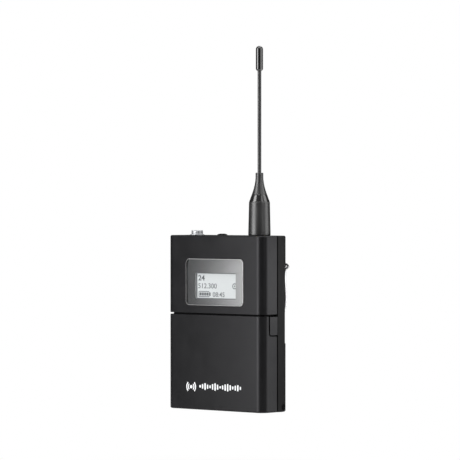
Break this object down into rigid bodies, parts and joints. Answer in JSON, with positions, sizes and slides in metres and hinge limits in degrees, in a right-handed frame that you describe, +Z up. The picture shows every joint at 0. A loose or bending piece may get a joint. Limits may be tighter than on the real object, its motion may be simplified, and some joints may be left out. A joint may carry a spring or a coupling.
{
  "type": "wireless bodypack transmitter",
  "caption": "Slim belt-worn radio microphone transmitter with a hinged battery cover, side latches, paper-type display, locking jack, mute slider, wire belt clip and a screw-on whip antenna.",
  "frame": {"origin": "centre of the case's flat underside, midway between the sides and between the front and back faces", "axes": "+Z up along the antenna, +Y from the display side to the belt-clip side, +X to the right as the display is faced"},
  "size_m": [0.0636, 0.0246, 0.1767],
  "materials": {
    "case_black": "fine-textured black moulding",
    "frame_black": "plain black moulding",
    "rubber_black": "satin black rubber",
    "gloss_black": "polished black",
    "mask_grey": "grey print on clear film",
    "lens_clear": "clear polished plastic",
    "paper_white": "electronic paper",
    "film_amber": "flexible circuit",
    "board_green": "circuit board",
    "tinned": "tinned sheet",
    "steel": "bright spring steel",
    "chrome": "polished chrome",
    "gold": "gold-plated contact",
    "brass": "turned brass",
    "white_plastic": "white moulding",
    "button_grey": "soft grey keys",
    "cell_wrap": "printed cell sleeve"
  },
  "bodies": {
    "case": {"rear_housing": "case_black", "front_housing": "case_black", "mid_frame": "frame_black", "hinge_pin_left": "steel", "hinge_pin_right": "steel", "latch_spring_left": "steel", "latch_spring_right": "steel", "case_screw_1": "steel", "case_screw_2": "steel", "case_screw_3": "steel", "case_screw_4": "steel", "display_window": "lens_clear", "display_mask": "mask_grey", "display_foam": "rubber_black", "display_panel": "paper_white", "display_flex": "film_amber", "main_board": "board_green", "rf_shield": "tinned", "processor_chip": "gloss_black", "top_board": "board_green", "mute_switch_base": "frame_black", "status_led": "white_plastic", "status_light_pipe": "lens_clear", "jack_sleeve": "chrome", "jack_nut": "steel", "jack_body": "frame_black", "antenna_socket": "brass", "antenna_insulator": "white_plastic", "control_panel": "frame_black", "control_board": "board_green", "power_switch": "steel", "down_switch": "steel", "up_switch": "steel", "set_switch": "steel", "battery_cell_lower": "cell_wrap", "battery_cell_upper": "cell_wrap", "contact_bridge": "tinned", "contact_positive": "tinned", "contact_negative": "tinned", "contact_spring_lower": "steel", "contact_spring_upper": "steel", "charge_pad_left": "gold", "charge_pad_right": "gold"},
    "cover": {"battery_cover": "case_black", "cover_foam": "rubber_black"},
    "latch_left": {"latch_button_left": "case_black"},
    "latch_right": {"latch_button_right": "case_black"},
    "mute": {"mute_slider": "case_black"},
    "clip": {"belt_clip": "steel"},
    "antenna_seal": {"antenna_o_ring": "rubber_black"},
    "antenna": {"antenna_ferrule": "brass", "antenna_collar": "rubber_black", "antenna_ring": "gloss_black", "antenna_boot": "rubber_black", "antenna_whip": "rubber_black", "antenna_tip": "gloss_black"},
    "power_key": {"power_button": "button_grey"},
    "down_key": {"down_button": "button_grey"},
    "up_key": {"up_button": "button_grey"},
    "set_key": {"set_button": "button_grey"}
  },
  "joints": [
    {"name": "cover_hinge", "type": "hinge", "parent": "case", "child": "cover", "pos_m": [0, 0.0052, 0.0024], "axis": [1, 0, 0], "range_deg": [0, 105]},
    {"name": "latch_left_press", "type": "slide", "parent": "case", "child": "latch_left", "axis": [1, 0, 0], "range_m": [0, 0.0012], "deforming": ["latch_spring_left"]},
    {"name": "latch_right_press", "type": "slide", "parent": "case", "child": "latch_right", "axis": [-1, 0, 0], "range_m": [0, 0.0012], "deforming": ["latch_spring_right"]},
    {"name": "mute_slide", "type": "slide", "parent": "case", "child": "mute", "axis": [1, 0, 0], "range_m": [0, 0.0024]},
    {"name": "clip_pivot", "type": "hinge", "parent": "case", "child": "clip", "pos_m": [0, 0.0119, 0.0703], "axis": [1, 0, 0], "range_deg": [0, 12]},
    {"name": "antenna_lift", "type": "slide", "parent": "case", "child": "antenna_seal", "axis": [0, 0, 1], "range_m": [0, 0.005]},
    {"name": "antenna_spin", "type": "hinge", "parent": "antenna_seal", "child": "antenna", "pos_m": [0.0206, 0, 0.085], "axis": [0, 0, 1], "range_deg": [0, 2570]},
    {"name": "power_press", "type": "slide", "parent": "case", "child": "power_key", "axis": [0, 1, 0], "range_m": [0, 0.0003]},
    {"name": "down_press", "type": "slide", "parent": "case", "child": "down_key", "axis": [0, 1, 0], "range_m": [0, 0.0003]},
    {"name": "up_press", "type": "slide", "parent": "case", "child": "up_key", "axis": [0, 1, 0], "range_m": [0, 0.0003]},
    {"name": "set_press", "type": "slide", "parent": "case", "child": "set_key", "axis": [0, 1, 0], "range_m": [0, 0.0003]}
  ],
  "couplings": [
    {"joint": "antenna_spin", "follows": "antenna_lift", "rad_per_m": 8970}
  ]
}
